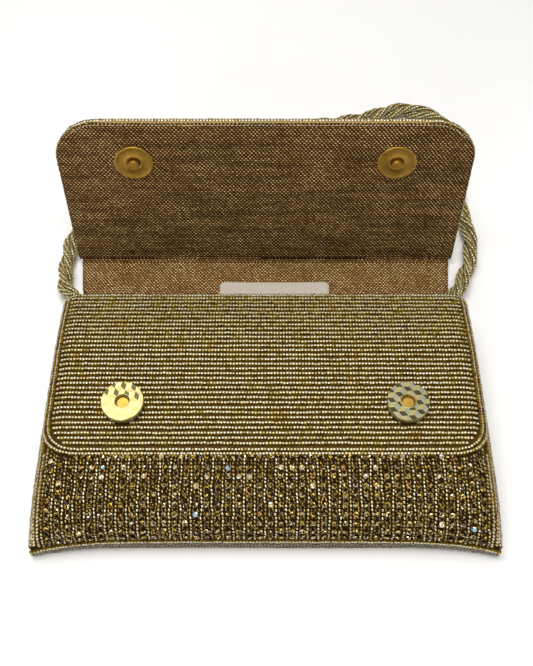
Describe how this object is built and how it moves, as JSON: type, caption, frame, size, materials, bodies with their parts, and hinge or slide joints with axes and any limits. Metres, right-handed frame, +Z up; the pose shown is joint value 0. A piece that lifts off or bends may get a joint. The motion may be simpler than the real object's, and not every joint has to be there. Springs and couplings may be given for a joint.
{
  "type": "evening bag",
  "caption": "Flat beaded evening bag with a fold-over flap, a padded pouch, magnetic snaps under the flap and a twisted bead-rope strap.",
  "frame": {"origin": "on the surface the bag lies on, under the middle of the bag's bounding box without the strap", "axes": "+X across the bag to the right as seen from its bottom edge, +Y from the bottom edge towards the flap, +Z up, away from the surface the bag's back lies on"},
  "size_m": [0.2137, 0.2634, 0.0845],
  "materials": {
    "gold_beading": "silver-lined amber-gold glass seed beads and round crystals sewn in rows on cloth",
    "edge_beading": "pale gold glass seed beads in close rows",
    "strap_beading": "pale silver-gold glass seed beads strung and twisted into a rope",
    "stiffener": "plain board between the beading and the lining",
    "pouch_lining": "coarse brown and tan woven cloth",
    "flap_lining": "coarse brown and tan woven cloth with darker slub bands",
    "spine_lining": "the same woven cloth, lighter and pinker",
    "piping": "thin gold-tan satin piping",
    "socket_brass": "pale polished brass pressed with small rhombic facets",
    "stud_brass": "antiqued brass, satin",
    "snap_steel": "plain plated steel",
    "ticket_card": "thin matt off-white card, blank"
  },
  "bodies": {
    "pouch": {"back_panel": "gold_beading", "back_stiffener": "stiffener", "back_lining": "pouch_lining", "front_panel": "gold_beading", "front_stiffener": "stiffener", "front_lining": "pouch_lining", "gusset_left": "gold_beading", "side_edging_left": "gold_beading", "gusset_right": "gold_beading", "side_edging_right": "gold_beading", "bottom_band": "edge_beading", "mouth_beading": "edge_beading", "front_border": "edge_beading", "snap_socket_cap_left": "socket_brass", "snap_magnet_left": "snap_steel", "snap_socket_base_left": "stud_brass", "snap_socket_pole_left": "stud_brass", "snap_socket_washer_left": "snap_steel", "snap_socket_cap_right": "socket_brass", "snap_magnet_right": "snap_steel", "snap_socket_base_right": "stud_brass", "snap_socket_pole_right": "stud_brass", "snap_socket_washer_right": "snap_steel", "strap_tab_left": "pouch_lining", "strap_tab_right": "pouch_lining", "strap": "strap_beading"},
    "spine": {"spine_panel": "gold_beading", "spine_stiffener": "stiffener", "spine_lining": "spine_lining", "ticket": "ticket_card"},
    "flap": {"flap_panel": "gold_beading", "flap_stiffener": "stiffener", "flap_lining": "flap_lining", "flap_edge_beading": "edge_beading", "flap_piping": "piping", "snap_stud_plate_left": "stud_brass", "snap_stud_left": "stud_brass", "snap_stud_washer_left": "snap_steel", "snap_stud_plate_right": "stud_brass", "snap_stud_right": "stud_brass", "snap_stud_washer_right": "snap_steel"}
  },
  "joints": [
    {"name": "spine_fold", "type": "hinge", "parent": "pouch", "child": "spine", "pos_m": [0, 0.0317, 0.0033], "axis": [1, 0, 0], "range_deg": [0, 91.2]},
    {"name": "flap_fold", "type": "hinge", "parent": "spine", "child": "flap", "pos_m": [0, 0.06825, 0.0033], "axis": [1, 0, 0], "range_deg": [-45, 11.9]}
  ]
}
